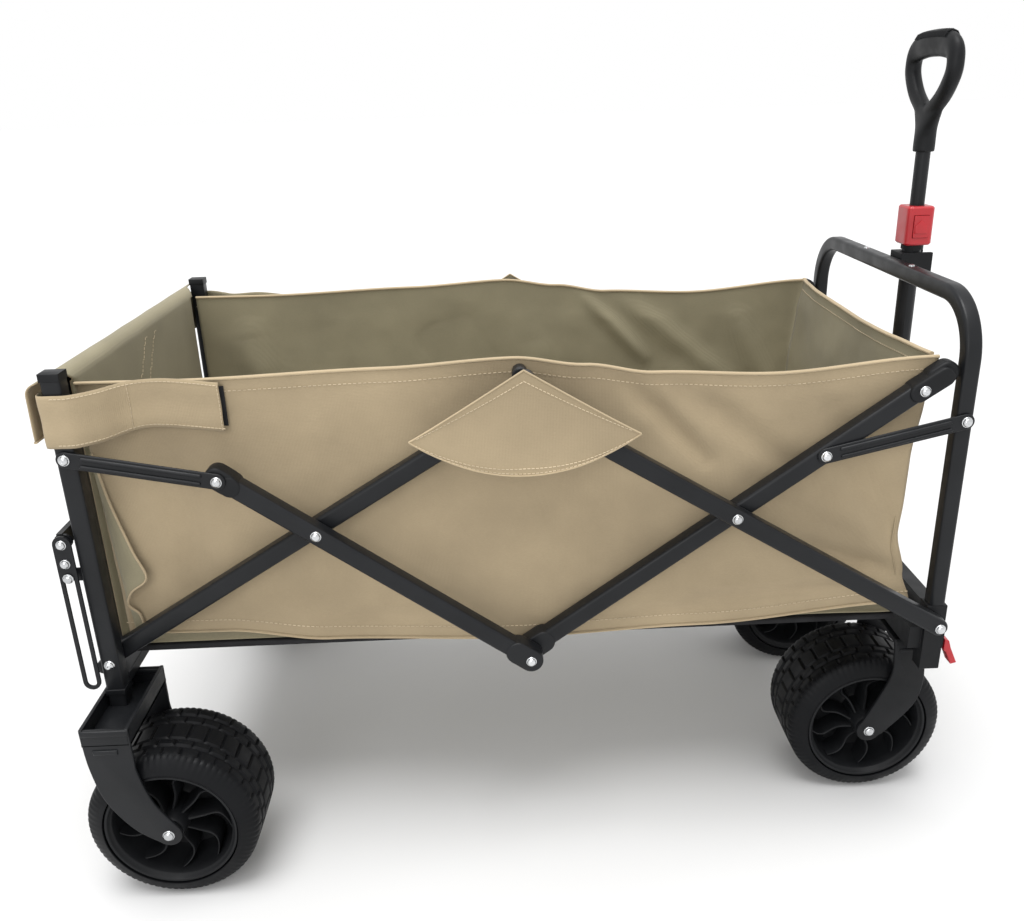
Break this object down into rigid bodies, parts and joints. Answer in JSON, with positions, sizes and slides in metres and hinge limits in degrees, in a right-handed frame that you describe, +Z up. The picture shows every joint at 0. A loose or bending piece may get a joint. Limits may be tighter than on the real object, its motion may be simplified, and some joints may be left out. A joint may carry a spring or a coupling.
{
  "type": "folding utility wagon",
  "caption": "Folding utility wagon: scissor tube frame, open fabric basket, drop tailgate, fat wheels with swivelling front casters and a telescoping pull handle.",
  "frame": {"origin": "centre of the bounding box in plan, on the floor under the wheels", "axes": "+X along the length towards the pull handle, +Y across the wagon towards the far side, +Z up"},
  "size_m": [1.0159, 0.6726, 0.902],
  "materials": {
    "black_paint": "satin powder coat",
    "black_plastic": "fine moulded grain",
    "red_plastic": "semi-gloss",
    "bright_steel": "bright plated",
    "rubber": "matt",
    "canvas": "woven polyester"
  },
  "bodies": {
    "rear_frame": {"rear_post_near": "black_paint", "rear_post_far": "black_paint", "rear_crossbar": "black_paint", "rear_fork_near": "black_paint", "rear_fork_far": "black_paint", "rear_axle_near": "bright_steel", "rear_axle_far": "bright_steel", "floor_panel": "canvas", "side_panel_near": "canvas", "side_panel_far": "canvas", "corner_strap_near": "canvas", "corner_strap_far": "canvas"},
    "arm_e": {"arm_e_near": "black_paint", "arm_e_far": "black_paint"},
    "arm_d": {"arm_d_near": "black_paint", "arm_d_far": "black_paint", "centre_tube": "black_paint"},
    "arm_b": {"arm_b_near": "black_paint", "arm_b_far": "black_paint", "corner_cap_near": "black_plastic", "corner_cap_far": "black_plastic"},
    "arm_c": {"arm_c_near": "black_paint", "arm_c_far": "black_paint"},
    "front_frame": {"push_bar_frame": "black_paint", "front_crossbar": "black_paint", "front_panel": "canvas", "bar_clip": "black_plastic", "caster_housing_near": "black_plastic", "caster_housing_far": "black_plastic"},
    "top_flaps": {"joint_flap_near": "canvas", "joint_flap_far": "canvas"},
    "rear_links": {"rear_link_near": "black_paint", "rear_link_far": "black_paint"},
    "front_links": {"front_link_near": "black_paint", "front_link_far": "black_paint"},
    "tailgate": {"gate_frame": "black_paint", "rear_panel": "canvas"},
    "gate_stays": {"gate_stay_near": "black_paint", "gate_stay_far": "black_paint"},
    "stay_pins": {"stay_pin_near": "bright_steel", "stay_pin_far": "bright_steel"},
    "pull_handle": {"pole_tube": "black_paint", "pole_collar": "red_plastic"},
    "collar_button": {"collar_button": "red_plastic"},
    "handle_extension": {"inner_tube": "black_paint", "d_grip": "black_plastic"},
    "rear_wheel_near": {"rear_tyre_near": "rubber", "rear_rim_near": "black_plastic"},
    "rear_wheel_far": {"rear_tyre_far": "rubber", "rear_rim_far": "black_plastic"},
    "caster_near": {"front_fork_near": "black_plastic", "front_axle_near": "bright_steel"},
    "caster_far": {"front_fork_far": "black_plastic", "front_axle_far": "bright_steel"},
    "front_wheel_near": {"front_tyre_near": "rubber", "front_rim_near": "black_plastic"},
    "front_wheel_far": {"front_tyre_far": "rubber", "front_rim_far": "black_plastic"},
    "lever_near": {"swivel_lever_near": "red_plastic"},
    "lever_far": {"swivel_lever_far": "red_plastic"}
  },
  "joints": [
    {"name": "fold", "type": "hinge", "parent": "rear_frame", "child": "arm_e", "pos_m": [-0.4703, 0, 0.2727], "axis": [0, -1, 0], "range_deg": [0, 38], "deforming": ["side_panel_near", "side_panel_far", "floor_panel", "corner_strap_near", "corner_strap_far"]},
    {"name": "rear_crossing", "type": "hinge", "parent": "arm_e", "child": "arm_d", "pos_m": [-0.2289, 0, 0.4185], "axis": [0, -1, 0], "range_deg": [-76.5, 0.5]},
    {"name": "bottom_centre", "type": "hinge", "parent": "arm_d", "child": "arm_b", "pos_m": [-0.0059, 0, 0.254], "axis": [0, -1, 0], "range_deg": [-0.5, 76.5]},
    {"name": "front_crossing", "type": "hinge", "parent": "arm_b", "child": "arm_c", "pos_m": [0.2171, 0, 0.4185], "axis": [0, -1, 0], "range_deg": [-76.5, 0.5]},
    {"name": "front_low", "type": "hinge", "parent": "arm_c", "child": "front_frame", "pos_m": [0.4537, 0, 0.2727], "axis": [0, -1, 0], "range_deg": [-0.5, 38.5]},
    {"name": "top_centre", "type": "hinge", "parent": "arm_e", "child": "top_flaps", "pos_m": [-0.0059, 0, 0.583], "axis": [0, -1, 0], "range_deg": [-38.5, 0.5]},
    {"name": "rear_link_turn", "type": "hinge", "parent": "rear_frame", "child": "rear_links", "pos_m": [-0.4703, 0, 0.5156], "axis": [0, -1, 0], "range_deg": [-0.5, 74.6]},
    {"name": "front_link_turn", "type": "hinge", "parent": "front_frame", "child": "front_links", "pos_m": [0.4585, 0, 0.5117], "axis": [0, -1, 0], "range_deg": [-76.9, 0.5]},
    {"name": "tailgate_drop", "type": "hinge", "parent": "rear_frame", "child": "tailgate", "pos_m": [-0.4839, 0, 0.262], "axis": [0, -1, 0], "range_deg": [0, 65]},
    {"name": "stay_swing", "type": "hinge", "parent": "tailgate", "child": "gate_stays", "pos_m": [-0.4899, 0, 0.424], "axis": [0, -1, 0], "range_deg": [-0.5, 46.6]},
    {"name": "stay_pin_slide", "type": "slide", "parent": "gate_stays", "child": "stay_pins", "axis": [0, 0, -1], "range_m": [-0.0005, 0.1178]},
    {"name": "handle_tilt", "type": "hinge", "parent": "front_frame", "child": "pull_handle", "pos_m": [0.4871, 0, 0.277], "axis": [0, 1, 0], "range_deg": [0, 100]},
    {"name": "handle_extend", "type": "slide", "parent": "pull_handle", "child": "handle_extension", "axis": [0, 0, 1], "range_m": [-0.05, 0.25]},
    {"name": "button_press", "type": "slide", "parent": "pull_handle", "child": "collar_button", "axis": [0, 1, 0], "range_m": [0, 0.002], "stiffness_N_per_m": 400},
    {"name": "rear_wheel_near_spin", "type": "hinge", "parent": "rear_frame", "child": "rear_wheel_near", "pos_m": [-0.4131, -0.272, 0.095], "axis": [0, 1, 0], "continuous": true},
    {"name": "rear_wheel_far_spin", "type": "hinge", "parent": "rear_frame", "child": "rear_wheel_far", "pos_m": [-0.4131, 0.272, 0.095], "axis": [0, 1, 0], "continuous": true},
    {"name": "caster_near_swivel", "type": "hinge", "parent": "front_frame", "child": "caster_near", "pos_m": [0.4521, -0.148, 0.24], "axis": [0, 0, 1], "continuous": true},
    {"name": "caster_far_swivel", "type": "hinge", "parent": "front_frame", "child": "caster_far", "pos_m": [0.4521, 0.148, 0.24], "axis": [0, 0, 1], "continuous": true},
    {"name": "front_wheel_near_spin", "type": "hinge", "parent": "caster_near", "child": "front_wheel_near", "pos_m": [0.4128, -0.148, 0.095], "axis": [0, 1, 0], "continuous": true},
    {"name": "front_wheel_far_spin", "type": "hinge", "parent": "caster_far", "child": "front_wheel_far", "pos_m": [0.4128, 0.148, 0.095], "axis": [0, 1, 0], "continuous": true},
    {"name": "lever_near_turn", "type": "hinge", "parent": "front_frame", "child": "lever_near", "pos_m": [0.4747, -0.234, 0.243], "axis": [0, -1, 0], "range_deg": [0, 30]},
    {"name": "lever_far_turn", "type": "hinge", "parent": "front_frame", "child": "lever_far", "pos_m": [0.4747, 0.234, 0.243], "axis": [0, -1, 0], "range_deg": [0, 30]}
  ],
  "couplings": [
    {"joint": "rear_crossing", "follows": "fold", "ratio": -2},
    {"joint": "bottom_centre", "follows": "fold", "ratio": 2},
    {"joint": "front_crossing", "follows": "fold", "ratio": -2},
    {"joint": "front_low", "follows": "fold", "ratio": 1},
    {"joint": "top_centre", "follows": "fold", "ratio": -1},
    {"joint": "rear_link_turn", "follows": "fold", "ratio": 1.9476},
    {"joint": "front_link_turn", "follows": "fold", "ratio": -2.0082},
    {"joint": "stay_swing", "follows": "tailgate_drop", "ratio": 0.7091},
    {"joint": "stay_pin_slide", "follows": "tailgate_drop", "m_per_rad": 0.1034}
  ]
}
